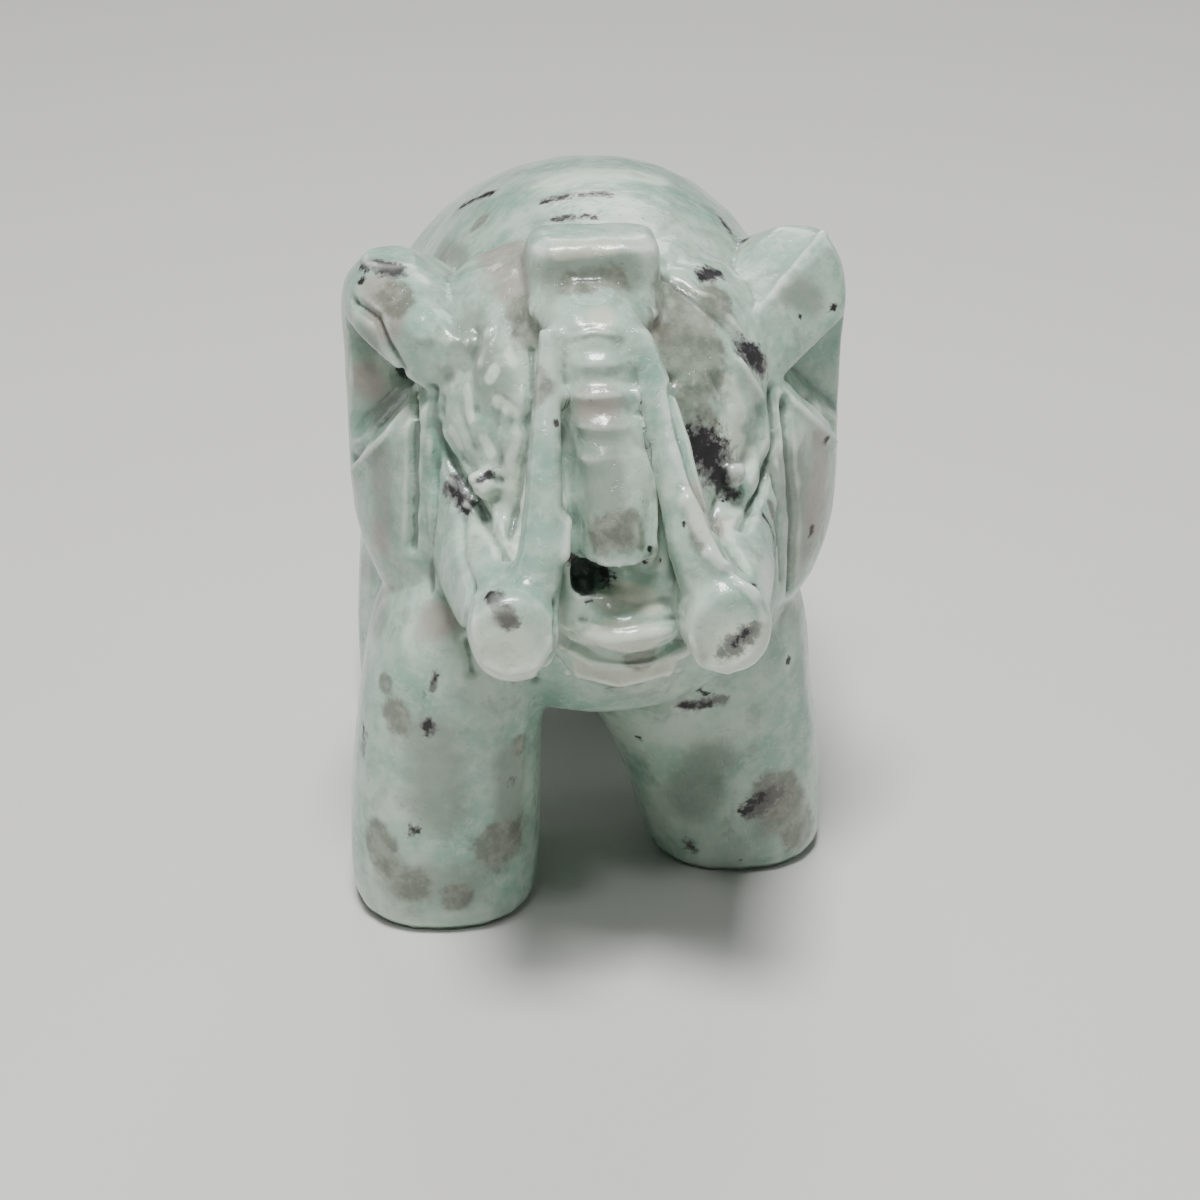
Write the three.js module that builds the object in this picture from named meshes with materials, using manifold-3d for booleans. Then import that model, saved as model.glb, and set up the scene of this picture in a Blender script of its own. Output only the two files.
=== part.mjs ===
// Stone elephant carving: one piece of polished stone, trunk curled up against the forehead.
// Millimetres, +Z up. The elephant faces -Y and stands on its four feet at Z = 0.
// The origin lies under the middle of the carving, at floor level.

import * as THREE from 'three';
import { LoftGeometry } from 'three/addons/geometries/LoftGeometry.js';
import { ConvexGeometry } from 'three/addons/geometries/ConvexGeometry.js';
import { mergeVertices } from 'three/addons/utils/BufferGeometryUtils.js';
import Module from 'manifold-3d';

const wasm = await Module();
wasm.setup();

// Driving dimensions, in millimetres
const carvingLength = 50;
const footLength = 11.2;
const footWidth = 9.8;
const footEdge = 0.8;
const trunkWidth = 6.4;
const tuskTip = 1.1;
const tuskRoot = 4.2;
const trunkRings = 5;
const eyeWidth = 1.5;
const lipWidth = 6.6;
const tailWidth = 1.9;

// How finely the surfaces are faceted
const bodyRing = 32;
const limbRing = 18;
const smallRing = 12;

// The free form is laid out in hundredths of the carving's length
const share = carvingLength / 100;

function at(x, y, z) {
  return new THREE.Vector3(x, y, z).multiplyScalar(share);
}

// Turns a closed geometry into a solid that can be joined and cut
function solidOf(geometry) {
  const bare = new THREE.BufferGeometry();
  bare.setAttribute('position', geometry.attributes.position);
  bare.setIndex(geometry.index);
  const merged = mergeVertices(bare, 1e-5);
  const vertProperties = new Float32Array(merged.attributes.position.array);
  const triVerts = new Uint32Array(merged.index.array);
  return new wasm.Manifold(new wasm.Mesh({ numProp: 3, vertProperties, triVerts }));
}

function geometryOf(solid) {
  const mesh = solid.getMesh();
  const geometry = new THREE.BufferGeometry();
  geometry.setAttribute('position', new THREE.BufferAttribute(mesh.vertProperties, 3));
  geometry.setIndex(new THREE.BufferAttribute(mesh.triVerts, 1));
  return geometry;
}

// Skins rings of points into a closed solid, whichever way the rings wind
function skin(rings) {
  const first = rings[0];
  const last = rings[rings.length - 1];
  const middle = (ring) => ring.reduce((sum, p) => sum.add(p), new THREE.Vector3()).divideScalar(ring.length);
  const onward = middle(last).sub(middle(first));
  const widest = rings[Math.floor(rings.length / 2)];
  const hub = middle(widest);
  const turn = new THREE.Vector3();
  widest.forEach((p, i) => {
    const next = widest[(i + 1) % widest.length];
    turn.add(new THREE.Vector3().crossVectors(p.clone().sub(hub), next.clone().sub(hub)));
  });
  const wound = turn.dot(onward) > 0 ? rings : rings.map((ring) => [...ring].reverse());
  return solidOf(new LoftGeometry(wound, { capStart: true, capEnd: true }));
}

// A ring between an ellipse (power 2) and a rounded box (higher powers)
function ovalRing(centre, side, lift, wide, up, down, power, count) {
  const ring = [];
  for (let i = 0; i < count; i++) {
    const angle = (i + 0.5) / count * Math.PI * 2;
    const c = Math.cos(angle);
    const s = Math.sin(angle);
    const a = Math.sign(c) * Math.abs(c) ** (2 / power) * wide;
    const b = Math.sign(s) * Math.abs(s) ** (2 / power) * (s > 0 ? up : down);
    ring.push(centre.clone().addScaledVector(side, a).addScaledVector(lift, b));
  }
  return ring;
}

// A body of ovals: each station is [x, y, z, half width, extent up, extent down] in shares
function ovalBody(stations, lift, power, steps, count) {
  const side = new THREE.Vector3(1, 0, 0);
  const spine = new THREE.CatmullRomCurve3(stations.map((s) => at(s[0], s[1], s[2])));
  const girth = new THREE.CatmullRomCurve3(stations.map((s) => at(s[3], s[4], s[5])));
  const rings = [];
  for (let i = 0; i <= steps; i++) {
    const g = girth.getPoint(i / steps);
    rings.push(ovalRing(spine.getPoint(i / steps), side, lift, g.x, g.y, g.z, power, count));
  }
  return skin(rings);
}

// A round or oval bar along a curve: each station is a point and its radius in millimetres
function bar(points, radii, flatness, steps, count) {
  const side = new THREE.Vector3(1, 0, 0);
  const spine = new THREE.CatmullRomCurve3(points);
  const girth = new THREE.CatmullRomCurve3(radii.map((r) => new THREE.Vector3(r, 0, 0)));
  const rings = [];
  for (let i = 0; i <= steps; i++) {
    const t = i / steps;
    const lift = new THREE.Vector3().crossVectors(side, spine.getTangent(t)).normalize();
    const r = girth.getPoint(t).x;
    rings.push(ovalRing(spine.getPoint(t), side, lift, r, r * flatness, r * flatness, 2.2, count));
  }
  return skin(rings);
}

// A solid of level slices, each a closed curve through its own few corner points
function slices(levels, steps, count) {
  const corners = levels[0].corners.length;
  const edges = [];
  for (let k = 0; k < corners; k++) {
    const path = levels.map((slice) => at(slice.corners[k][0], slice.corners[k][1], slice.z));
    edges.push(new THREE.CatmullRomCurve3(path));
  }
  const rings = [];
  for (let i = 0; i <= steps; i++) {
    const outline = edges.map((edge) => edge.getPoint(i / steps));
    const curve = new THREE.CatmullRomCurve3(outline, true, 'centripetal');
    rings.push(curve.getPoints(count).slice(0, count));
  }
  return skin(rings);
}

function ball(centre, wide, long, high) {
  const geometry = new THREE.SphereGeometry(1, smallRing, 8);
  geometry.scale(wide, long, high);
  geometry.translate(centre.x, centre.y, centre.z);
  return solidOf(geometry);
}

function hull(points) {
  return solidOf(new ConvexGeometry(points));
}

// Which way the rings of a standing and of a lying body reach up
const level = new THREE.Vector3(0, 1, 0);
const upright = new THREE.Vector3(0, 0, 1);

function makeBody() {
  return ovalBody([
    [0, -30, 42, 10, 20, 12],
    [0, -26, 40, 17, 27, 17],
    [1, -20, 40, 19.6, 29, 19],
    [1.6, -10, 40, 21.2, 31, 20],
    [1.9, 0, 40, 22.2, 31.8, 20.5],
    [1.9, 10, 40, 22.7, 31, 20.8],
    [1.8, 20, 40, 23, 28.6, 21.2],
    [1.5, 30, 40, 23, 25.4, 22],
    [1, 38, 39, 22.4, 20.8, 22.5],
    [0.7, 44.6, 37, 19.8, 16, 19.5],
    [0.4, 49, 35, 14, 10, 12.5],
    [0.2, 50.6, 34, 5, 4, 5],
  ], upright, 2.15, 22, bodyRing);
}

// A leg stands on a flat sole; its stations above the foot lean it into the body
function makeLeg(footX, footY, rise) {
  const halfWide = footWidth / 2 / share;
  const halfLong = footLength / 2 / share;
  const edge = footEdge / share;
  return ovalBody([
    [footX, footY, 0, halfWide - edge, halfLong - edge, halfLong - edge],
    [footX, footY, edge * 0.35, halfWide - edge * 0.35, halfLong - edge * 0.35, halfLong - edge * 0.35],
    [footX, footY, edge * 1.2, halfWide, halfLong, halfLong],
    ...rise.map(([z, x, y, wide, long]) => [footX + x, footY + y, z, halfWide + wide, halfLong + long, halfLong + long]),
  ], level, 2.5, 16, limbRing);
}

function makeLegs() {
  const frontLeft = makeLeg(-16.8, -18.6, [
    [8, 0.2, 0, 0.2, 0],
    [15, 0.5, 0, 0, 0],
    [22, 1.2, 0.2, -0.2, 0],
    [30, 2.8, 1, 0, 0.4],
    [40, 6, 4, -2, 0.4],
  ]);
  const frontRight = makeLeg(15, -9.2, [
    [8, -1, -0.2, 0.8, 0],
    [14, -2.3, -0.8, 1.6, 0.2],
    [20, -4.4, -1.8, 2.6, 0.8],
    [28, -6, -2.5, 3.4, 1.2],
    [38, -7, -2, 1, 1.2],
  ]);
  const hindLeft = makeLeg(-15, 27.5, [
    [9, 0, 0.5, 0.2, 0.4],
    [17, 0.5, 2, 0.2, 2],
    [26, 1.8, 4, 0.2, 4.6],
    [36, 3.6, 5, -1.6, 4.8],
    [46, 5.4, 4, -3.8, 1],
  ]);
  const hindRight = makeLeg(14.8, 30.5, [
    [9, 0, 0, 0.2, 0.4],
    [17, -0.5, 0.8, 0.2, 2],
    [26, -1.6, 2, 0.2, 4.2],
    [36, -3.2, 2.6, -1.6, 4.6],
    [46, -4.8, 1.6, -3.8, 1],
  ]);
  return [frontLeft, frontRight, hindLeft, hindRight];
}

// The brow and the upper face taper down to the root of the trunk, over the fuller cheeks
function makeHead() {
  const upperFace = ovalBody([
    [-0.5, -16, 68.8, 7, 8, 5],
    [-0.5, -16, 67, 12.6, 10, 9.4],
    [-0.5, -16, 63.8, 15.8, 10, 13],
    [-0.5, -16, 60, 17.4, 10, 15.6],
    [-0.5, -16, 56, 17.6, 10, 17.2],
    [-0.5, -16, 52, 16.4, 10, 18.8],
    [-0.5, -16, 48, 14, 10, 20.8],
    [-0.5, -16, 44, 11.4, 10, 22.6],
    [-0.5, -16, 40, 8.6, 10, 23.6],
  ], level, 2.3, 15, bodyRing);
  const cheeks = ovalBody([
    [-0.5, -16, 31, 10, 8, 14.6],
    [-0.5, -16, 34, 15, 8, 20],
    [-0.5, -16, 38, 17.6, 8, 22.6],
    [-0.5, -16, 44, 18.6, 8, 22],
    [-0.5, -16, 50, 18.4, 8, 16.6],
    [-0.5, -16, 56, 17.4, 8, 10],
    [-0.5, -16, 62, 15, 8, 6],
  ], level, 2.3, 11, bodyRing);
  const eyes = [[-12.4, -31], [11.4, -31]].map(([x, y]) => {
    return ball(at(x, y, 50.4), eyeWidth / 2, eyeWidth / 2, eyeWidth / 2);
  });
  return [upperFace, cheeks, ...eyes];
}

// One ear, spread beside the head: side is 1 on the right and -1 on the left.
// The hollow between the folded top and the lower lobe opens outward from the waist,
// and hollowTop and hollowLow say how high it reaches at the rim.
function makeEar(side, topZ, hollowTop, hollowLow) {
  const slice = (z, ...corners) => ({ z, corners: corners.map(([x, y]) => [x * side, y]) });
  const blade = slices([
    slice(30.6, [14, -20], [18, -20], [19.6, -16], [18.6, -11], [15, -8]),
    slice(34, [12, -24], [19, -22], [22.2, -16.6], [21.8, -9], [16, -4]),
    slice(40, [12, -26], [19.4, -23.4], [24, -16.4], [24.2, -7.6], [16, 0]),
    slice(48, [12, -26], [19.2, -23.4], [24.4, -15], [24.4, -5], [16, 2]),
    slice(57, [12, -26], [18.8, -23.4], [24.4, -15.4], [24.4, -4], [16, 2]),
    slice(63, [12, -26], [19.8, -22.8], [24.4, -16.8], [24.4, -4], [16, 1]),
    slice(topZ - 2.4, [15, -21], [20.4, -20.4], [24, -16], [23.8, -7], [17.6, -3]),
    slice(topZ, [18.4, -15.6], [20.6, -16.2], [22.8, -14], [22.4, -10], [19.2, -9]),
  ], 14, limbRing);
  const hollow = hull([
    at(16.8 * side, -25, 57),
    at(18.4 * side, -15.4, 56.4),
    at(28 * side, -30, hollowTop + 1.6),
    at(28 * side, -30, hollowLow - 3),
    at(28 * side, -12, hollowTop - 0.6),
    at(28 * side, -10.6, hollowLow + 0.6),
  ]);
  return blade.subtract(hollow);
}

// Trims a solid flat along the plane through three points; what lies beyond the plane goes
function trimmed(solid, a, b, c) {
  const plane = new THREE.Plane().setFromCoplanarPoints(a, b, c);
  return solid.trimByPlane(plane.normal.toArray(), -plane.constant);
}

// Two flat facets meet in a sharp crest that rises outward over the right ear
function makeRightEar() {
  const low = at(14.8, -21.8, 63);
  const high = at(21.8, -14.8, 67.4);
  const facetedOver = trimmed(makeEar(1, 68.6, 63, 46), low, at(19, -9.4, 68.8), high);
  return trimmed(facetedOver, low, high, at(17.2, -22.4, 57));
}

// The trunk drops from the brow as a square block; its end comes up again in front of it
function makeTrunk() {
  const half = trunkWidth / 2 / share;
  const drop = ovalBody([
    [-1.3, -23, 72.6, half - 1.4, 3.2, 2.6],
    [-1.3, -22.6, 71.8, half - 0.3, 4.4, 4.2],
    [-1.3, -21, 69, half, 6, 6.2],
    [-1.2, -19, 65, half + 0.2, 7, 9.2],
    [-1.1, -17, 60, half, 7, 14],
    [-0.9, -17, 54, half + 0.8, 7, 19],
    [-0.8, -17, 48, half + 1.2, 7, 22.4],
    [-0.6, -17, 39, half + 1, 7, 24.4],
  ], level, 5, 14, limbRing);
  const end = ovalBody([
    [-0.8, -35, 46.6, half * 0.58, 5, 9],
    [-0.8, -34, 52, half * 0.58, 5, 8],
    [-1, -32, 57, half * 0.6, 5, 7],
    [-1.5, -30, 61.6, half * 0.72, 5, 6],
    [-1.9, -29.6, 65.4, half * 0.76, 4.6, 5],
    [-2, -29.4, 67.8, half * 0.62, 3.6, 4],
    [-2, -29.4, 69.4, half * 0.3, 2, 2.4],
  ], level, 2.8, 12, limbRing);
  const rings = [];
  for (let i = 0; i < trunkRings; i++) {
    const t = i / (trunkRings - 1);
    const centre = at(-1.8 + 0.6 * t, -33.4 - 5.2 * t, 66.2 - 10.6 * t);
    rings.push(ball(centre, trunkWidth * 0.25, 1.5 * share, 0.9 * share));
  }
  return [drop, end, ...rings];
}

// A tusk: a thick root out of the cheek with a blunt flat end, and a ridge up beside the trunk.
// Each point of the ridge is [x, y, z, thickness against the tip's].
function makeTusk(rootX, cheekX, ridge) {
  const root = tuskRoot / 2;
  const bulb = bar([
    at(cheekX, -22, 42),
    at((cheekX + rootX) / 2, -34, 41.6),
    at(rootX, -43, 41.4),
    at(rootX, -47, 41.4),
    at(rootX, -48, 41.4),
  ], [root * 1.3, root * 1.2, root * 1.04, root * 0.99, root * 0.84], 1.1, 10, limbRing);
  const points = ridge.map(([x, y, z]) => at(x, y, z));
  const radii = ridge.map((stop) => stop[3] * tuskTip / 2);
  return [bulb, bar(points, radii, 1.1, 16, smallRing)];
}

function makeTusks() {
  const left = makeTusk(-10.8, -12.6, [
    [-10.2, -43.4, 42.4, 3.4], [-8.2, -42.4, 46.8, 2.2], [-7.6, -40.4, 51, 1.8],
    [-7.2, -37.8, 56, 1.5], [-6.6, -34.6, 62, 1.2], [-6.2, -32.6, 66.2, 1],
  ]);
  const right = makeTusk(9, 11.8, [
    [9.4, -43.4, 42.6, 3.7], [6.6, -42.4, 47, 2.5], [5.5, -40.4, 51.2, 2],
    [4.6, -37.8, 56, 1.8], [3.2, -34.6, 61.6, 1.5], [1.9, -32.6, 66.2, 1.1],
  ]);
  return [...left, ...right];
}

// Lips and chin, and the gap under the trunk, which is deep on the left and shallow on the right
function makeMouth() {
  const half = lipWidth / 2;
  const lip = ball(at(0.4, -35, 39), half, 8.4 * share, 4 * share);
  const chin = ball(at(0.4, -32.4, 34.6), half * 1.06, 8.4 * share, 3.8 * share);
  const gap = hull([
    at(-5, -50, 46.4), at(4.4, -50, 46.4), at(-5, -50, 42.2), at(4.4, -50, 42.2),
    at(-4.8, -36.6, 45.6), at(3.6, -42.6, 45.6), at(-4.8, -36.6, 42.6), at(3.6, -42.6, 42.6),
  ]);
  return { lips: [lip, chin], gap };
}

function makeTail() {
  const r = tailWidth / 2;
  return bar([
    at(0.2, 38, 60), at(0.3, 44, 54.4), at(0.8, 48.6, 47), at(1.6, 50.6, 38), at(2.4, 50, 29), at(2.8, 46, 22),
  ], [r * 0.8, r, r * 0.9, r * 0.9, r * 1.1, r * 0.6], 0.9, 12, smallRing);
}

function makeElephant() {
  const mouth = makeMouth();
  const pieces = [
    makeBody(),
    ...makeLegs(),
    ...makeHead(),
    makeEar(-1, 67.6, 64, 44.6),
    makeRightEar(),
    ...makeTrunk(),
    ...mouth.lips,
    makeTail(),
  ];
  const figure = pieces.reduce((sum, piece) => sum.add(piece));
  const carved = figure.subtract(mouth.gap);
  return makeTusks().reduce((sum, piece) => sum.add(piece), carved);
}

// Puts the feet on the floor and the middle of the carving over the origin
function centred(geometry) {
  geometry.computeBoundingBox();
  const { min, max } = geometry.boundingBox;
  geometry.translate(-(min.x + max.x) / 2, -(min.y + max.y) / 2, -min.z);
  return geometry;
}

const polishedStone = new THREE.MeshStandardMaterial({ color: 0xb7cdc3, roughness: 0.22, metalness: 0 });

const group = new THREE.Group();
group.name = 'stone elephant carving';
const elephant = new THREE.Mesh(centred(geometryOf(makeElephant())), polishedStone);
elephant.name = 'elephant';
group.add(elephant);

export default group;
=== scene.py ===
import math
import time

import bmesh
import bpy
import numpy as np
from mathutils import Matrix, Vector, noise
from mathutils.bvhtree import BVHTree
from mathutils.kdtree import KDTree


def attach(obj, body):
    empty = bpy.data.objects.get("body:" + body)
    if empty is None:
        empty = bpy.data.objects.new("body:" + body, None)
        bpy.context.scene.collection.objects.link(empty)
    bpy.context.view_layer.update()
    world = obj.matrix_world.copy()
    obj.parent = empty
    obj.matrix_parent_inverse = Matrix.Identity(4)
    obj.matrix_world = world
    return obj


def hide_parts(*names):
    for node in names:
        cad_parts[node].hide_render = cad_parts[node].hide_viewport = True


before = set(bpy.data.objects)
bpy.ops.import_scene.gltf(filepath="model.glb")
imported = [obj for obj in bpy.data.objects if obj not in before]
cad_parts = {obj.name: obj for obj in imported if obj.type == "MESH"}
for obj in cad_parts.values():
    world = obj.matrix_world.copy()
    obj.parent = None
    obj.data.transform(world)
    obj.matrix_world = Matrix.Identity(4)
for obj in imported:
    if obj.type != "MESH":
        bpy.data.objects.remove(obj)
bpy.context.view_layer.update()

started = time.time()
mm = 0.001


def report(words):
    print(f"{time.time() - started:6.1f} s  {words}")


# Camera and pixels
# The camera stands where the photograph was taken from, found from the feet, the ears and the back.

shot = {
    "pixels": 1200,         # the frame that pixel places below are given in
    "strokeStep": 12,       # pixels between the places where a stroke is laid on the stone
    "azimuth": -5.5,        # degrees, to the elephant's right of straight ahead
    "elevation": 24,
    "lens": 84,             # mm, on a 36 mm sensor
    "sensor": 36,
    "distance": 147.1,      # mm from the aimed point
    "aim": (0.48, -7.08, 14.63),
}


def cameraAxes():
    az, el = math.radians(shot["azimuth"]), math.radians(shot["elevation"])
    back = Vector((math.sin(az) * math.cos(el), -math.cos(az) * math.cos(el), math.sin(el)))
    right = Vector((math.cos(az), math.sin(az), 0))
    return right, back.cross(right), back


def placeCamera():
    right, up, back = cameraAxes()
    data = bpy.data.cameras.new("camera")
    data.lens, data.sensor_width = shot["lens"], shot["sensor"]
    data.clip_start, data.clip_end = 0.01, 10
    camera = bpy.data.objects.new("camera", data)
    bpy.context.scene.collection.objects.link(camera)
    turn = Matrix((right, up, back)).transposed().to_4x4()
    turn.translation = (Vector(shot["aim"]) + back * shot["distance"]) * mm
    camera.matrix_world = turn
    bpy.context.scene.camera = camera


def throughPixel(tree, pixel):
    # the point of the surface, in mm, that shows at a pixel of the photograph
    right, up, back = cameraAxes()
    eye = Vector(shot["aim"]) + back * shot["distance"]
    perPixel = shot["sensor"] / shot["lens"] / shot["pixels"]
    across = (pixel[0] - shot["pixels"] / 2) * perPixel
    down = (pixel[1] - shot["pixels"] / 2) * perPixel
    hit = tree.ray_cast(eye, (right * across - up * down - back).normalized())[0]
    return None if hit is None else np.array(hit)


# Carving
# The solid is remeshed finely, its edges are rubbed round as a tumbled and polished stone's are,
# and the cuts of the carver's wheel are pressed in along strokes.

carving = {
    "voxel": 0.16,          # mm between points while it is carved
    "edgeRounds": 3,        # rounds of smoothing all over, creases too
    "wideRounds": 55,       # rounds away from the creases
    "creaseAngle": 28,      # degrees between faces that make a crease and not a facet
    "creaseWidth": 0.9,     # mm beside a crease that stay as they were cut
    "creaseStep": 0.2,      # mm between the places along a crease that distances are taken from
    "ringRounds": 32,       # rounds over the ringed part of the trunk
    "strokeRounds": 2,      # rounds after the strokes
    "triangles": 190000,
    "soleDepth": 0.14,      # mm: points this near the floor are ground flat
}

# Boxes in mm: the range along x, y and z.
creaseBoxes = [
    ((-99, 99), (-99, -4), (15.5, 99)),     # the head
    ((-0.6, 2.6), (16, 99), (9, 22)),       # the tail below its root
    ((-99, 99), (-99, 99), (-1, 1.2)),      # the feet
]
ringBox = ((-2.2, 1.0), (-99, -16.5), (25.5, 99))
blockBox = ((-4.0, 3.2), (-99, 99), (29.5, 99))

# Hand work leaves the face uneven, and the rest only a trace of that.
unevenness = {
    "height": 0.17,         # mm
    "size": 1.25,           # mm between lumps
    "layers": 2,            # of noise
    "elsewhere": 0.12,      # share of the height that is left off the face
    "onTrunk": 0.2,
    "onBlock": 0.15,
    "face": ((11.2, 4.2), (-7, -10), (20, 22)),     # mm off the middle, along y and along z: none to full
    "trunk": (-16.5, -18),                          # along y
}

# Each stroke: the pixels it runs through, then its half width and its depth in mm.
grooves = {
    "leftTuskToFace": ([(530, 350), (531, 400), (527, 440), (519, 480), (512, 520), (506, 556)], 0.24, 0.42),
    "rightTuskToFace": ([(670, 380), (685, 450), (699, 495), (718, 535), (746, 570)], 0.24, 0.42),
    "leftCheek": ([(430, 390), (434, 432), (455, 470), (482, 512), (512, 558)], 0.26, 0.38),
    "leftFoldSheet": ([(441, 400), (436, 470), (432, 540), (430, 590)], 0.2, 0.28),
    "leftLobeInner": ([(414, 392), (413, 450), (412, 500), (411, 548)], 0.24, 0.55),
    "leftCheekFold": ([(463, 515), (462, 555), (474, 590)], 0.24, 0.22),
    "leftUnderEye": ([(497, 512), (502, 530)], 0.15, 0.14),
    "leftEyeRim": ([(473, 497), (476, 481), (489, 474), (500, 481)], 0.15, 0.26),
    "leftChipA": ([(520, 318), (500, 352)], 0.3, 0.16),
    "leftChipB": ([(498, 330), (486, 372), (490, 392)], 0.26, 0.16),
    "leftChipC": ([(462, 372), (458, 412), (472, 446)], 0.26, 0.18),
    "leftChipD": ([(510, 420), (500, 462)], 0.24, 0.16),
    "rightChipA": ([(712, 372), (728, 404), (730, 430)], 0.3, 0.18),
    "rightChipB": ([(690, 330), (704, 362)], 0.3, 0.14),
    "leftBrow": ([(440, 300), (462, 330), (452, 372), (436, 392)], 0.4, 0.22),
    "leftFaceChip": ([(478, 330), (470, 370), (474, 410)], 0.3, 0.2),
    "leftFaceChipLow": ([(500, 400), (494, 440), (500, 470)], 0.26, 0.18),
    "leftEarFold": ([(352, 300), (376, 318), (388, 345), (410, 380)], 0.22, 0.35),
    "leftLobeTop": ([(404, 396), (378, 424), (352, 458)], 0.3, 0.3),
    "rightBehindFace": ([(772, 390), (777, 440), (763, 486), (741, 528)], 0.24, 0.5),
    "rightLobeInner": ([(785, 398), (789, 450), (794, 520), (790, 590)], 0.22, 0.45),
    "rightFoldSheet": ([(773, 460), (780, 520), (782, 580)], 0.17, 0.28),
    "rightLobeTop": ([(796, 388), (816, 404), (834, 424)], 0.3, 0.3),
    "rightBrow": ([(660, 272), (690, 292), (722, 320), (742, 344)], 0.3, 0.28),
    "rightCheekFold": ([(716, 500), (712, 530), (722, 560)], 0.22, 0.22),
    "tongue": ([(612, 598), (640, 606), (664, 600)], 0.18, 0.12),
    "lipFold": ([(580, 620), (620, 628), (672, 618)], 0.18, 0.16),
    "underBulbLeft": ([(556, 600), (556, 650), (536, 682)], 0.2, 0.25),
    "besideBulbLeft": ([(470, 585), (464, 630), (472, 672)], 0.2, 0.3),
    "ringOne": ([(570, 332), (595, 326), (618, 331)], 0.14, 0.1),
    "ringTwo": ([(568, 343), (596, 337), (622, 342)], 0.14, 0.1),
}

ridges = {
    "leftSlot": ([(563, 395), (564, 450), (564, 500), (562, 556)], 0.34, 0.42),
    "rightSlot": ([(636, 395), (645, 450), (650, 500), (649, 556)], 0.34, 0.42),
    "rightEarCrest": ([(755, 314), (790, 272), (824, 233)], 0.2, 0.2),
    "rightFaceCrest": ([(738, 362), (762, 400), (764, 440), (747, 482)], 0.35, 0.28),
    "rightLobeCrest": ([(786, 396), (812, 420), (834, 442)], 0.25, 0.22),
    "leftLobeCrest": ([(416, 398), (388, 434), (354, 470)], 0.25, 0.25),
    "leftFaceEdge": ([(438, 420), (462, 462), (488, 500), (512, 545)], 0.2, 0.18),
    "underLip": ([(564, 644), (592, 660), (640, 662), (686, 650)], 0.35, 0.34),
    "lip": ([(572, 635), (610, 642), (668, 632)], 0.4, 0.2),
    "chin": ([(568, 670), (620, 682), (676, 668)], 0.4, 0.25),
    "leftBulbRim": ([(477, 596), (474, 630), (480, 662), (506, 676), (538, 668), (551, 640)], 0.16, 0.14),
    "rightBulbRim": (
        [(692, 640), (700, 664), (728, 672), (754, 652), (764, 620), (752, 594), (734, 586)], 0.16, 0.14),
    "rightTuskFlare": ([(688, 500), (702, 535), (722, 566)], 0.45, 0.4),
    "rightBulbCorner": ([(706, 556), (730, 578), (754, 596)], 0.3, 0.3),
}

# Each dab: pixel, radius and height in mm; a dab below zero hollows the stone.
dabs = {
    "leftEye": ((488, 490), 0.45, 0.12),
    "leftEarHollow": ((368, 345), 1.3, -0.5),
    "leftEarNotch": ((402, 372), 0.5, -0.6),
    "mouth": ((586, 572), 0.75, -0.45),
    "mouthLow": ((584, 588), 0.4, -0.3),
    "curl": ((594, 290), 1.5, -0.6),
    "leftTuskStep": ((566, 506), 0.5, 0.3),
    "leftRootTop": ((540, 312), 0.8, 0.6),
    "rightRootTop": ((646, 314), 0.8, 0.6),
}


def ramp(values, start, end):
    return np.clip((values - start) / (end - start), 0, 1)


def inBox(points, box):
    low, high = np.array(box).T
    return ((points > low) & (points < high)).all(axis=-1)


def pathDistance(points, path):
    # distance of every point from a path of straight pieces
    best = np.full(len(points), np.inf)
    for a, b in zip(path[:-1], path[1:]):
        run = b - a
        t = np.clip((points - a) @ run / max(run @ run, 1e-9), 0, 1)
        best = np.minimum(best, np.linalg.norm(points - a - t[:, None] * run, axis=1))
    return best


def finerPath(tree, pixels):
    # the stroke's pixels, with points between, laid on the surface
    steps = []
    for (u0, v0), (u1, v1) in zip(pixels[:-1], pixels[1:]):
        count = max(1, round(math.hypot(u1 - u0, v1 - v0) / shot["strokeStep"]))
        steps += [(u0 + (u1 - u0) * i / count, v0 + (v1 - v0) * i / count) for i in range(count)]
    steps.append(pixels[-1])
    found = [throughPixel(tree, pixel) for pixel in steps]
    return [point for point in found if point is not None]


def readPoints(mesh):
    flat = np.empty(len(mesh.vertices) * 3)
    mesh.vertices.foreach_get("co", flat)
    return flat.reshape(-1, 3) / mm


def readNormals(mesh):
    flat = np.empty(len(mesh.vertices) * 3)
    mesh.vertices.foreach_get("normal", flat)
    return flat.reshape(-1, 3)


def writePoints(mesh, points):
    mesh.vertices.foreach_set("co", (points * mm).ravel())
    mesh.update()


def surfaceTree(mesh):
    points = readPoints(mesh)
    faces = [tuple(face.vertices) for face in mesh.polygons]
    return BVHTree.FromPolygons([Vector(p) for p in points], faces)


def bakeModifiers(piece):
    # keeps the shape that the modifiers give, and drops the modifiers
    bpy.context.view_layer.update()
    graph = bpy.context.evaluated_depsgraph_get()
    mesh = bpy.data.meshes.new_from_object(piece.evaluated_get(graph))
    old = piece.data
    piece.modifiers.clear()
    piece.data = mesh
    bpy.data.meshes.remove(old)


def weldedCopy(node):
    mesh = bpy.data.meshes.new("elephant_stone")
    shape = bmesh.new()
    shape.from_mesh(node.data)
    bmesh.ops.remove_doubles(shape, verts=shape.verts, dist=1e-7)
    bmesh.ops.recalc_face_normals(shape, faces=shape.faces)
    shape.to_mesh(mesh)
    shape.free()
    piece = bpy.data.objects.new("elephant_stone", mesh)
    bpy.context.scene.collection.objects.link(piece)
    return piece


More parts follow.
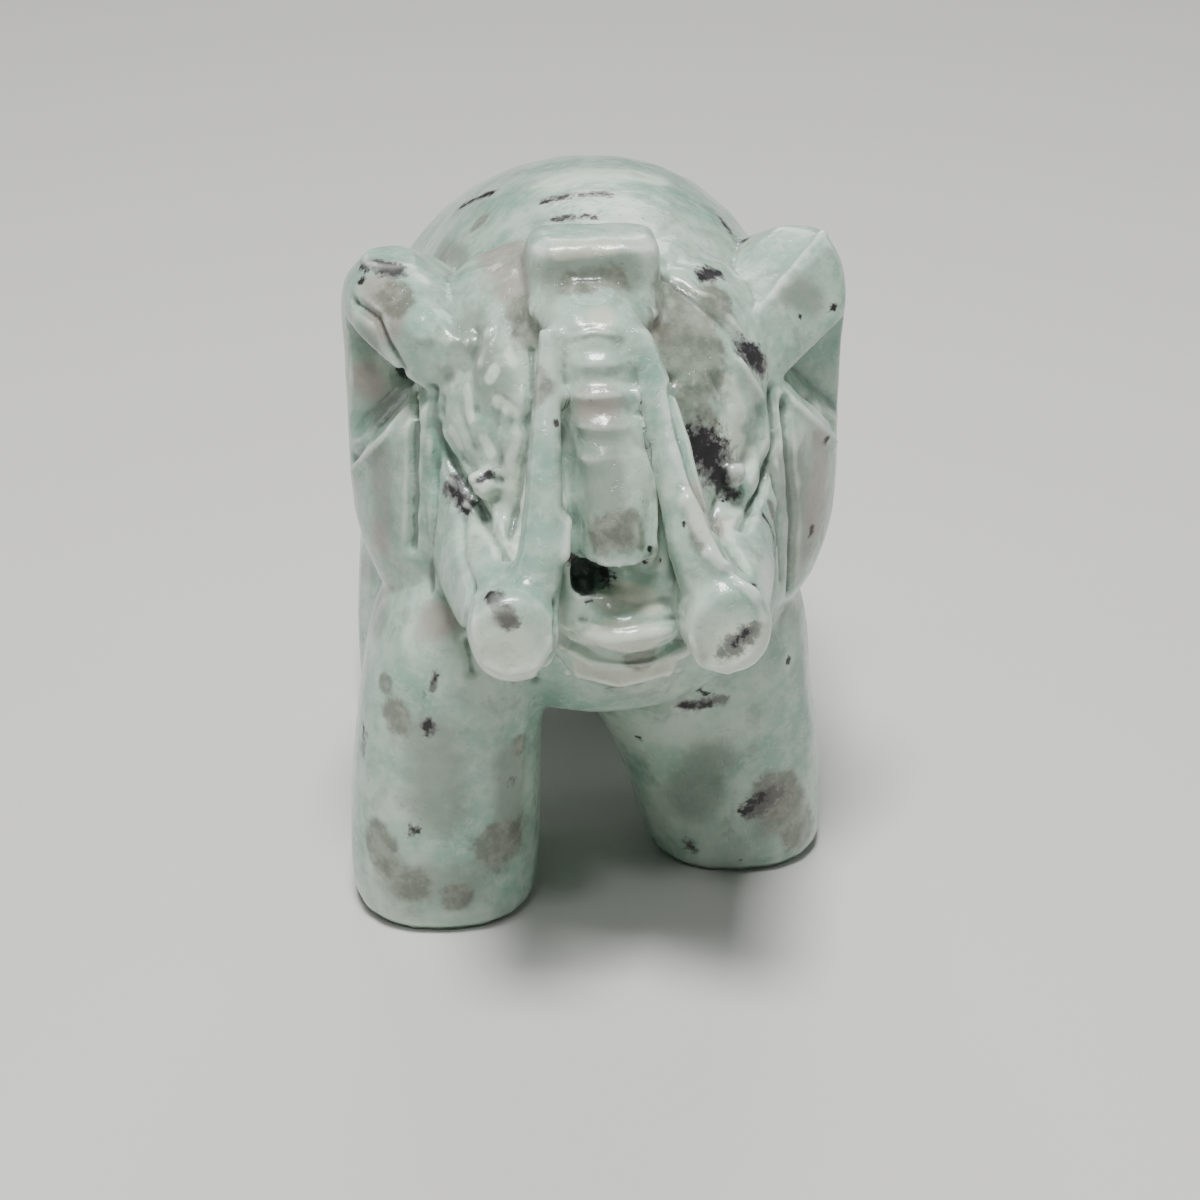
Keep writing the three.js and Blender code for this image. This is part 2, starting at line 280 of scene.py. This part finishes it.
# Places where creases are rubbed round too: a pixel, a radius in mm, and how much of the crease goes.
softSpots = [
    ((519, 592), 1.5, 1.0), ((508, 640), 2.6, 0.55), ((728, 588), 1.6, 1.0), ((735, 640), 2.6, 0.55),
    ((540, 322), 1.3, 1.0), ((642, 322), 1.3, 1.0), ((548, 300), 1.0, 0.9), ((634, 300), 1.0, 0.9),
    ((562, 668), 1.6, 1.0), ((600, 678), 1.6, 1.0), ((640, 670), 1.6, 1.0),
]


def creaseDistance(rough, points):
    # mm to the nearest crease; the legs run softly into the body, so only those in the boxes count
    shape = bmesh.new()
    shape.from_mesh(rough)
    places = []
    for edge in shape.edges:
        if edge.is_manifold and edge.calc_face_angle(0) > math.radians(carving["creaseAngle"]):
            a, b = (vert.co / mm for vert in edge.verts)
            middle = np.array((a + b) / 2)
            if any(inBox(middle, box) for box in creaseBoxes):
                count = max(1, round((b - a).length / carving["creaseStep"]))
                places += [a.lerp(b, i / count) for i in range(count + 1)]
    shape.free()
    found = KDTree(len(places))
    for i, point in enumerate(places):
        found.insert(point, i)
    found.balance()
    return np.array([found.find(Vector(p))[2] for p in points])


def rubSmooth(piece, rounds, weights=None):
    smooth = piece.modifiers.new("rub", "SMOOTH")
    smooth.factor, smooth.iterations = 0.5, rounds
    if weights is not None:
        group = piece.vertex_groups.new(name="rub")
        for tenth in range(1, 11):
            chosen = np.nonzero(np.round(weights * 10) == tenth)[0]
            group.add(chosen.tolist(), tenth / 10, "REPLACE")
        smooth.vertex_group = "rub"
    bakeModifiers(piece)
    piece.vertex_groups.clear()


def pressStrokes(piece):
    mesh = piece.data
    tree = surfaceTree(mesh)
    points, normals = readPoints(mesh), readNormals(mesh)
    lift = np.zeros(len(points))
    for sign, strokes in ((-1, grooves), (1, ridges)):
        for pixels, halfWidth, depth in strokes.values():
            path = finerPath(tree, pixels)
            near = pathDistance(points, path)
            lift += sign * depth * np.exp(-(near / halfWidth) ** 2)
    for pixel, radius, height in dabs.values():
        near = np.linalg.norm(points - throughPixel(tree, pixel), axis=1)
        lift += height * np.exp(-(near / radius) ** 2)
    writePoints(mesh, points + normals * lift[:, None])


def handUnevenness(piece):
    mesh, look = piece.data, unevenness
    points, normals = readPoints(mesh), readNormals(mesh)
    lumps = np.array([noise.fractal(Vector(p) / look["size"], 1.0, 2.0, look["layers"]) for p in points])
    x, y, z = points.T
    acrossFace, alongFace, upFace = look["face"]
    share = ramp(np.abs(x), *acrossFace) * ramp(y, *alongFace) * ramp(z, *upFace)
    share *= 1 - (1 - look["onTrunk"]) * ramp(y, *look["trunk"])
    share *= np.where(inBox(points, blockBox), look["onBlock"], 1)
    share = look["elsewhere"] + (1 - look["elsewhere"]) * share
    writePoints(mesh, points + normals * (lumps * look["height"] * share)[:, None])


def grindSoles(piece):
    points = readPoints(piece.data)
    points[points[:, 2] < carving["soleDepth"], 2] = 0
    writePoints(piece.data, points)


def carveElephant():
    piece = weldedCopy(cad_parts["elephant"])
    rough = piece.data.copy()
    fine = piece.modifiers.new("fine", "REMESH")
    fine.mode, fine.voxel_size = "VOXEL", carving["voxel"] * mm
    bakeModifiers(piece)
    report(f"remeshed, {len(piece.data.vertices)} points")

    points, tree = readPoints(piece.data), surfaceTree(piece.data)
    away = creaseDistance(rough, points) / carving["creaseWidth"]
    bpy.data.meshes.remove(rough)
    for pixel, radius, share in softSpots:
        near = np.linalg.norm(points - throughPixel(tree, pixel), axis=1)
        away = np.maximum(away, share * np.clip(1.6 - 1.2 * near / radius, 0, 1))
    rubSmooth(piece, carving["wideRounds"], np.clip(away, 0, 1))
    rubSmooth(piece, carving["edgeRounds"])
    ringed = inBox(readPoints(piece.data), ringBox)
    rubSmooth(piece, carving["ringRounds"], ringed.astype(float))
    report("edges rubbed round")

    pressStrokes(piece)
    rubSmooth(piece, carving["strokeRounds"])
    handUnevenness(piece)
    report("strokes pressed in")

    fewer = piece.modifiers.new("fewer", "DECIMATE")
    faces = sum(len(face.vertices) - 2 for face in piece.data.polygons)
    fewer.ratio = min(1, carving["triangles"] / faces)
    bakeModifiers(piece)
    grindSoles(piece)
    piece.data.shade_smooth()
    report(f"carved, {len(piece.data.polygons)} faces")
    return piece


# Marks in the stone, and a few marks of painted shade and painted highlight
# Each mark: the pixels it runs through and its radius in mm. They are stored on the points of the
# mesh as how deep inside a mark a point lies, and the material breaks their edges up.

darkMarks = [
    ([(698, 444), (712, 456)], 1.25), ([(718, 474), (730, 492)], 0.7), ([(745, 350), (760, 360)], 0.75),
    ([(704, 276), (714, 272)], 0.65), ([(366, 262), (394, 269)], 0.75), ([(362, 280)], 0.35),
    # the four marks at the mouth paint the shade in its hollow black
    ([(572, 566), (604, 572)], 0.75), ([(584, 584)], 0.75), ([(587, 595)], 0.45), ([(572, 559)], 0.4),
    ([(454, 482), (468, 504)], 0.62), ([(491, 593), (500, 606)], 0.4),
    ([(750, 630), (736, 644)], 0.28), ([(546, 201), (608, 195)], 0.4), ([(554, 219), (597, 217)], 0.36),
    ([(462, 206), (492, 193)], 0.28), ([(724, 224), (745, 240)], 0.3), ([(436, 672), (433, 684)], 0.24),
    ([(424, 694)], 0.26), ([(428, 727)], 0.5), ([(413, 831)], 0.46), ([(511, 782)], 0.24),
    ([(363, 640), (358, 664)], 0.2), ([(363, 720), (364, 756)], 0.26), ([(640, 739)], 0.32),
    ([(682, 705), (718, 703)], 0.26), ([(698, 690), (706, 694)], 0.2), ([(744, 808), (762, 796)], 0.5),
    ([(690, 846)], 0.34), ([(556, 423)], 0.26), ([(800, 317)], 0.22), ([(826, 309), (836, 306)], 0.22),
    ([(402, 372)], 0.4), ([(812, 530), (826, 558)], 0.42), ([(764, 516), (774, 540)], 0.32),
    ([(756, 586)], 0.34), ([(827, 440)], 0.3), ([(671, 428)], 0.17), ([(684, 524)], 0.2),
    ([(478, 484), (489, 476)], 0.4), ([(649, 548), (646, 562)], 0.2),
    ([(788, 660)], 0.3), ([(740, 860)], 0.2), ([(660, 560)], 0.14),
]

clearMarks = [
    ([(672, 300), (696, 372)], 1.9), ([(690, 400), (706, 425)], 0.9), ([(520, 310), (536, 390)], 0.9),
    ([(604, 536), (626, 530)], 1.0), ([(572, 286), (612, 280)], 0.8), ([(684, 310), (700, 360)], 1.5),
    ([(716, 300)], 1.1), ([(775, 790), (800, 830)], 1.4), ([(500, 846)], 1.6), ([(378, 838), (384, 860)], 1.1),
    ([(396, 716)], 1.0), ([(385, 684)], 0.6), ([(480, 222)], 0.8), ([(640, 655)], 0.9),
    ([(412, 886)], 1.1), ([(458, 897)], 0.9),
    ([(700, 510), (708, 540)], 0.8), ([(505, 618)], 0.6), ([(520, 745)], 0.6), ([(640, 540)], 0.5),
    ([(392, 300)], 1.2),
]

roseMarks = [
    ([(500, 250), (515, 285)], 1.6), ([(376, 290), (385, 320)], 1.3), ([(700, 500), (712, 530)], 1.2),
    ([(600, 405)], 1.4), ([(660, 330)], 0.9), ([(820, 470), (815, 520)], 1.3), ([(380, 540)], 1.2),
    ([(780, 800)], 1.4), ([(440, 620)], 1.5), ([(366, 380)], 1.2), ([(818, 440)], 1.0),
]

creamMarks = [
    ([(612, 596), (646, 602)], 0.8), ([(586, 676), (660, 674)], 1.0), ([(600, 640), (650, 640)], 0.9),
    # the marks on the trunk tip's rounded top and along the block's top edge are painted highlights; the others
    # are the stone's cream tone
    ([(600, 318)], 0.8), ([(612, 246), (560, 250)], 0.5), ([(505, 665)], 0.9),
]

whitishMarks = [
    ([(502, 650)], 2.3), ([(738, 652)], 2.2), ([(520, 480), (514, 560)], 0.9), ([(700, 520)], 0.8),
    ([(560, 180), (640, 176)], 1.6), ([(725, 430), (745, 460)], 0.8),
    ([(494, 370), (490, 378)], 0.34), ([(500, 402), (512, 412)], 0.4), ([(466, 388), (470, 420)], 0.3),
    ([(484, 440), (490, 452)], 0.36), ([(508, 352), (514, 362)], 0.3), ([(452, 430), (460, 446)], 0.3),
    ([(728, 384), (740, 412)], 0.7), ([(505, 668)], 0.9),
]

greyMarks = [
    # the large marks down the fronts of the legs and the marks on the ears are partly the stone's grey and
    # partly painted shade; the others are the stone's grey patches
    ([(600, 420), (604, 530)], 1.5), ([(560, 276), (618, 276)], 1.7), ([(372, 330), (384, 410)], 1.6),
    ([(790, 470), (802, 550)], 1.7), ([(400, 880), (460, 888)], 1.8), ([(700, 650)], 0.7), ([(560, 640)], 0.7),
    ([(770, 820), (800, 860)], 1.6), ([(470, 330), (496, 392)], 1.2), ([(360, 560), (380, 620)], 1.2),
    ([(510, 760), (512, 840)], 1.3), ([(430, 740), (440, 810)], 1.9), ([(710, 760), (690, 800)], 1.9),
    ([(440, 250), (462, 262)], 1.0), ([(790, 290), (812, 300)], 1.2), ([(380, 460), (384, 520)], 1.3),
]

smokeMarks = [
    ([(728, 651), (752, 630)], 0.7), ([(493, 595), (512, 622)], 0.6), ([(546, 200), (608, 195)], 0.55),
    ([(556, 219), (596, 217)], 0.5), ([(462, 206), (492, 193)], 0.45), ([(724, 222), (746, 240)], 0.55),
    ([(428, 726)], 0.6), ([(412, 831)], 0.55), ([(704, 276), (714, 272)], 0.75),
    ([(370, 262), (395, 272)], 0.7), ([(436, 672), (432, 690)], 0.3), ([(750, 810), (776, 792)], 0.8),
    ([(682, 705), (722, 700)], 0.5), ([(690, 846)], 0.6), ([(511, 782)], 0.4), ([(745, 352), (762, 366)], 1.0),
    ([(704, 450), (720, 466)], 1.7),
    ([(450, 490), (464, 502)], 0.7), ([(363, 640), (358, 664)], 0.35), ([(366, 736), (362, 752)], 0.4),
    ([(770, 505), (776, 545)], 0.4), ([(822, 540), (826, 566)], 0.5), ([(826, 440)], 0.5),
]

stoneAndPaintedLightMarks = {
    "dark": darkMarks, "smoke": smokeMarks, "clear": clearMarks, "rose": roseMarks,
    "cream": creamMarks, "whitish": whitishMarks, "grey": greyMarks,
}

# How the attributes on the points are worked out
pointValues = {
    "foldRounds": 6,        # rounds of averaging that a fold is measured against
    "skin": 0.08,           # mm above the stone where a look back to the camera starts
}


def storeValues(piece, name, values):
    layer = piece.data.attributes.new(name, "FLOAT", "POINT")
    layer.data.foreach_set("value", values.astype(np.float32))


def meanOfNeighbours(mesh, values, rounds):
    ends = np.empty(len(mesh.edges) * 2, np.int64)
    mesh.edges.foreach_get("vertices", ends)
    a, b = ends[::2], ends[1::2]
    count = np.bincount(ends, minlength=len(values))[:, None]
    for _ in range(rounds):
        total = np.zeros_like(values)
        np.add.at(total, a, values[b])
        np.add.at(total, b, values[a])
        values = total / count
    return values


def storeFolds(piece):
    # above zero in cuts and creases, below zero along edges, in hundredths of a millimetre
    points, normals = readPoints(piece.data), readNormals(piece.data)
    smoothed = meanOfNeighbours(piece.data, points, pointValues["foldRounds"])
    away = ((smoothed - points) * normals).sum(axis=1) * 100
    storeValues(piece, "fold", meanOfNeighbours(piece.data, away[:, None], 1)[:, 0])


def storeMarks(piece):
    tree, points = surfaceTree(piece.data), readPoints(piece.data)
    eye = cameraAxes()[2] * shot["distance"] + Vector(shot["aim"])
    seen = np.zeros(len(points))
    for i, point in enumerate(points):
        toEye = (eye - Vector(point)).normalized()
        seen[i] = tree.ray_cast(Vector(point) + toEye * pointValues["skin"], toEye)[0] is None
    storeValues(piece, "seen", seen)
    for name, marks in stoneAndPaintedLightMarks.items():
        depth = np.full(len(points), -1.0)
        for pixels, radius in marks:
            path = [throughPixel(tree, pixel) for pixel in pixels]
            path = [point for point in path if point is not None]
            if path:
                near = pathDistance(points, path + path[-1:])
                depth = np.maximum(depth, 1 - near / radius)
            else:
                report(f"a {name} mark misses the stone: {pixels}")
        storeValues(piece, name, np.clip(depth, -1, 1))
    report("marks stored")


# Material
# Sesame jasper, a fine opaque to waxy quartz stone, cut with diamond wheels, tumbled and polished:
# soft mint clouds, clear grey quartz grains, and peppery black mineral specks under a wet gloss.

stoneLook = {
    "mint": "#8fb3a1",
    "pale": "#c2d2c3",
    "deep": "#6d9584",
    "ash": "#8a938a",
    "grey": "#848f83",
    "cream": "#d2d2c0",
    "whitish": "#dcead8",
    "rose": "#a39890",
    "grain": "#8c9083",
    "grainDeep": "#65665b",
    "smoke": "#55504e",
    "stain": "#5d585c",
    "speck": "#201d20",
    "creaseShade": "#4e5b54",       # painted shade, darker in cuts and creases
    # painted highlight along thin edges and rims
    "edge": "#e4ebdf",
    "grainSize": 3.4,       # mm between clear grains
    "clusterSize": 3.6,     # mm between clusters of dark mineral
    "swirlSize": 2.6,       # mm between the bends of the pattern
    "swirl": 1.8,           # mm that it is bent by
    "roughness": 0.15,
    "bump": 0.00012,        # metres of pits and wheel marks
    "scatter": 0.1,
    "scatterDepth": 0.0007, # metres that light goes into the stone
}

# Each noise: the places it reads, the size of its lumps in mm, its detail and its roughness.
stoneNoises = {
    "clouds": ("straight", 5.0, 4, 0.6),
    "deepClouds": ("bent", 3.5, 3, 0.5),
    "sugar": ("straight", 0.8, 5, 0.72),
    "ashes": ("bent", 1.9, 5, 0.68),
    "creamEdge": ("bent", 1.6, 3, 0.5),
    "whitishEdge": ("bent", 1.2, 3, 0.5),
    "roseEdge": ("bent", 3.0, 3, 0.5),
    "roseZones": ("straight", 7.5, 3, 0.5),
    "grainEdge": ("straight", 1.5, 4, 0.6),
    "cloudy": ("straight", 1.0, 4, 0.65),
    "grit": ("straight", 0.46, 4, 0.7),
    "pits": ("straight", 0.35, 3, 0.6),
    "wheelMarks": ("straight", 1.1, 3, 0.5),
}

# Each mask is made of those above it, the noises and the stored marks: its name, what is done, and
# with what. SOFT STEP runs from 0 at its first number to 1 at its second.
stoneMasks = [
    ("hidden", "SUBTRACT", 1.0, "seen", 0),
    ("paleArea", "SOFT STEP", "clouds", 0.36, 0.64),
    ("deepArea", "SOFT STEP", "deepClouds", 0.54, 0.72),
    ("sugarArea", "SOFT STEP", "sugar", 0.46, 0.66),
    ("ashArea", "SOFT STEP", "ashes", 0.5, 0.68),
    ("greyArea", "MULTIPLY_ADD", "cloudy", 0.6, "grey"),
    ("greyArea", "SOFT STEP", "greyArea", 0.15, 0.95),
    ("creamArea", "ADD", "cream", "creamEdge", 0),
    ("creamArea", "SOFT STEP", "creamArea", 0.3, 0.9),
    ("whitishArea", "MULTIPLY_ADD", "whitishEdge", 0.8, "whitish"),
    ("whitishArea", "SOFT STEP", "whitishArea", 0.2, 0.9),
    ("roseArea", "ADD", "rose", "roseEdge", 0),
    ("roseArea", "SOFT STEP", "roseArea", 0.3, 1.1),
    ("roseWild", "SOFT STEP", "roseZones", 0.54, 0.7),
    ("roseWild", "MULTIPLY", "roseWild", "hidden", 0),
    ("roseArea", "MAXIMUM", "roseArea", "roseWild", 0),
    # clear quartz grains, grey or brownish, with soft ragged edges
    ("ragged", "MULTIPLY_ADD", "grainEdge", 1.3, "grainsAway"),
    ("ragged", "MULTIPLY_ADD", "grainsSize", 0.3, "ragged"),
    ("ragged", "SOFT STEP", "ragged", 1.2, 0.95),
    ("grains", "SOFT STEP", "grainsLuck", 0.42, 0.38),
    ("grains", "MULTIPLY", "grains", "ragged", 0),
    ("grainsKept", "MULTIPLY_ADD", "hidden", 0.75, 0.25),
    ("grains", "MULTIPLY", "grains", "grainsKept", 0),
    ("clearArea", "MULTIPLY_ADD", "cloudy", 0.9, "clear"),
    ("clearArea", "SOFT STEP", "clearArea", 0.24, 0.76),
    ("clearArea", "MAXIMUM", "clearArea", "grains", 0),
    ("cloudyDeep", "SOFT STEP", "cloudy", 0.36, 0.64),
    # peppery black mineral, in marks and in loose clusters; the marks at the mouth are painted shade in its
    # hollow
    ("pepper", "MULTIPLY_ADD", "grit", 4.2, -2.1),
    ("loose", "MULTIPLY_ADD", "clustersAway", -5.0, 1.0),
    ("bare", "SOFT STEP", "clustersSize", 0.34, 0.38),
    ("loose", "MULTIPLY_ADD", "bare", -3.0, "loose"),
    ("loose", "MULTIPLY_ADD", "seen", -1.5, "loose"),
    ("darkness", "MAXIMUM", "dark", "loose", 0),
    ("smokeArea", "MULTIPLY_ADD", "pepper", 0.45, "smoke"),
    ("smokeArea", "SOFT STEP", "smokeArea", 0.0, 0.6),
    ("stainArea", "MULTIPLY_ADD", "pepper", 0.5, "darkness"),
    ("stainArea", "SOFT STEP", "stainArea", -0.1, 0.5),
    ("speckArea", "MULTIPLY_ADD", "pepper", 0.8, "darkness"),
    ("speckArea", "SOFT STEP", "speckArea", 0.25, 0.56),
    # painted shade darkens cuts and creases, and a painted highlight lightens thin edges, for the light they
    # let through
    ("cutArea", "SOFT STEP", "fold", 1.0, 9.0),
    ("edgeArea", "SOFT STEP", "fold", -3.0, -8.5),
    # a wet gloss, a little duller on the dark mineral, over faint pits and wheel marks
    ("rough", "MULTIPLY_ADD", "speckArea", 0.3, stoneLook["roughness"]),
    ("rough", "MULTIPLY_ADD", "cloudy", 0.08, "rough"),
    ("pitted", "SOFT STEP", "pits", 0.28, 0.4),
    ("height", "MULTIPLY_ADD", "pitted", 0.3, "wheelMarks"),
]

# Each layer over the mint ground: the mask it lies in, how far it covers, and its colour.
stoneLayers = [
    ("paleArea", 1.0, "pale"), ("deepArea", 0.5, "deep"), ("sugarArea", 0.55, "pale"), ("ashArea", 0.5, "ash"),
    ("greyArea", 0.75, "grey"), ("creamArea", 0.7, "cream"), ("whitishArea", 0.9, "whitish"),
    ("roseArea", 0.75, "rose"), ("clearArea", 0.8, "grain"), ("smokeArea", 0.8, "smoke"),
    ("stainArea", 0.75, "stain"), ("speckArea", 1.0, "speck"), ("cutArea", 0.62, "creaseShade"),
    ("edgeArea", 0.65, "edge"),
]


def linearColour(text):
    def channel(value):
        return value / 12.92 if value <= 0.04045 else ((value + 0.055) / 1.055) ** 2.4
    return tuple(channel(int(text[i:i + 2], 16) / 255) for i in (1, 3, 5)) + (1.0,)


def addNode(tree, kind, settings, inputs):
    node = tree.nodes.new(kind)
    for name, value in settings.items():
        setattr(node, name, value)
    for name, value in inputs.items():
        if isinstance(value, bpy.types.NodeSocket):
            tree.links.new(value, node.inputs[name])
        else:
            node.inputs[name].default_value = value
    return node


def makeStone():
    look = stoneLook
    material = bpy.data.materials.new("polished_sesame_jasper")
    material.use_nodes = True
    tree = material.node_tree
    shader = tree.nodes["Principled BSDF"]

    # places on the stone in mm, as they are and bent by a slow swirl
    place = addNode(tree, "ShaderNodeTexCoord", {}, {}).outputs["Object"]
    straight = addNode(tree, "ShaderNodeMapping", {}, {
        "Vector": place, "Scale": (1 / mm,) * 3}).outputs["Vector"]
    swirl = addNode(tree, "ShaderNodeTexNoise", {}, {
        "Vector": straight, "Scale": 1 / look["swirlSize"], "Detail": 2})
    bent = addNode(tree, "ShaderNodeVectorMath", {"operation": "MULTIPLY_ADD"}, {
        0: swirl.outputs["Color"], 1: (look["swirl"],) * 3, 2: straight}).outputs[0]
    places = {"straight": straight, "bent": bent}

    values = {}
    for name in (*stoneAndPaintedLightMarks, "seen", "fold"):
        values[name] = addNode(tree, "ShaderNodeAttribute", {"attribute_name": name}, {}).outputs["Fac"]
    for name, (read, size, detail, roughness) in stoneNoises.items():
        values[name] = addNode(tree, "ShaderNodeTexNoise", {}, {
            "Vector": places[read], "Scale": 1 / size, "Detail": detail, "Roughness": roughness}).outputs["Fac"]
    for name in ("grain", "cluster"):
        cells = addNode(tree, "ShaderNodeTexVoronoi", {"feature": "F1"}, {
            "Vector": bent, "Scale": 1 / look[name + "Size"], "Randomness": 1.0})
        luck = addNode(tree, "ShaderNodeSeparateColor", {}, {"Color": cells.outputs["Color"]})
        values[name + "sAway"] = cells.outputs["Distance"]
        values[name + "sLuck"], values[name + "sSize"] = luck.outputs[0], luck.outputs[1]

    for name, done, *numbers in stoneMasks:
        a, b, c = (values.get(number, number) for number in numbers)
        if done == "SOFT STEP":
            made = addNode(tree, "ShaderNodeMapRange", {"interpolation_type": "SMOOTHSTEP"}, {
                "Value": a, "From Min": min(b, c), "From Max": max(b, c),
                "To Min": float(b > c), "To Max": float(b < c)})
        else:
            made = addNode(tree, "ShaderNodeMath", {"operation": done}, {0: a, 1: b, 2: c})
        values[name] = made.outputs[0]

    grain = addNode(tree, "ShaderNodeMix", {"data_type": "RGBA"}, {
        0: values["cloudyDeep"], 6: linearColour(look["grain"]), 7: linearColour(look["grainDeep"])}).outputs[2]
    colour = linearColour(look["mint"])
    for mask, share, name in stoneLayers:
        over = grain if name == "grain" else linearColour(look[name])
        amount = addNode(tree, "ShaderNodeMath", {"operation": "MULTIPLY"}, {0: values[mask], 1: share})
        mixed = addNode(tree, "ShaderNodeMix", {"data_type": "RGBA"}, {
            0: amount.outputs[0], 6: colour, 7: over})
        colour = mixed.outputs[2]

    bump = addNode(tree, "ShaderNodeBump", {}, {
        "Height": values["height"], "Strength": 0.5, "Distance": look["bump"]})
    tree.links.new(colour, shader.inputs["Base Color"])
    tree.links.new(values["rough"], shader.inputs["Roughness"])
    tree.links.new(bump.outputs["Normal"], shader.inputs["Normal"])
    shader.inputs["IOR"].default_value = 1.54
    shader.inputs["Subsurface Weight"].default_value = look["scatter"]
    shader.inputs["Subsurface Radius"].default_value = (1.0, 1.0, 0.9)
    shader.inputs["Subsurface Scale"].default_value = look["scatterDepth"]
    return material


# Stage: a plain pale floor and soft light from above

stage = {
    "floorSize": 3.0,
    "floorColour": "#cfcecb",
    "floorRoughness": 0.6,
    "lampAim": (0, 0, 0.018),
    "skyColour": "#eef1f3",
    "skyStrength": 0.1,
}

# Each lamp: where it stands and the size of its panel in metres, its power in watts, and how
# much of it shows as a reflection.
lamps = {
    "top": ((-0.03, -0.10, 0.45), 0.12, 2.9, 0.3),
    "glint": ((-0.06, -0.26, 0.38), 0.04, 0.25, 1.0),
    "left": ((-0.38, 0.04, 0.16), 0.16, 0.14, 1.0),
    "right": ((0.38, 0.04, 0.18), 0.16, 0.16, 1.0),
    "back": ((0.05, 0.40, 0.36), 0.25, 0.8, 0.0),
}


def makeStage():
    shape = bmesh.new()
    bmesh.ops.create_grid(shape, x_segments=1, y_segments=1, size=stage["floorSize"])
    mesh = bpy.data.meshes.new("floor")
    shape.to_mesh(mesh)
    shape.free()
    floor = bpy.data.objects.new("floor", mesh)
    bpy.context.scene.collection.objects.link(floor)
    paper = bpy.data.materials.new("matt_paper_sweep")
    paper.use_nodes = True
    shader = paper.node_tree.nodes["Principled BSDF"]
    shader.inputs["Base Color"].default_value = linearColour(stage["floorColour"])
    shader.inputs["Roughness"].default_value = stage["floorRoughness"]
    mesh.materials.append(paper)
    for name, (spot, size, power, shine) in lamps.items():
        data = bpy.data.lights.new(name, "AREA")
        data.energy, data.size, data.specular_factor = power, size, shine
        lamp = bpy.data.objects.new(name, data)
        lamp.location = spot
        towards = Vector(stage["lampAim"]) - Vector(spot)
        lamp.rotation_euler = towards.to_track_quat("-Z", "Y").to_euler()
        bpy.context.scene.collection.objects.link(lamp)
    world = bpy.data.worlds.new("sky")
    world.use_nodes = True
    sky = world.node_tree.nodes["Background"]
    sky.inputs["Color"].default_value = linearColour(stage["skyColour"])
    sky.inputs["Strength"].default_value = stage["skyStrength"]
    bpy.context.scene.world = world


placeCamera()
makeStage()
elephant = carveElephant()
storeMarks(elephant)
storeFolds(elephant)
elephant.data.materials.clear()
elephant.data.materials.append(makeStone())
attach(elephant, "root")
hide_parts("elephant")
report("elephant finished")
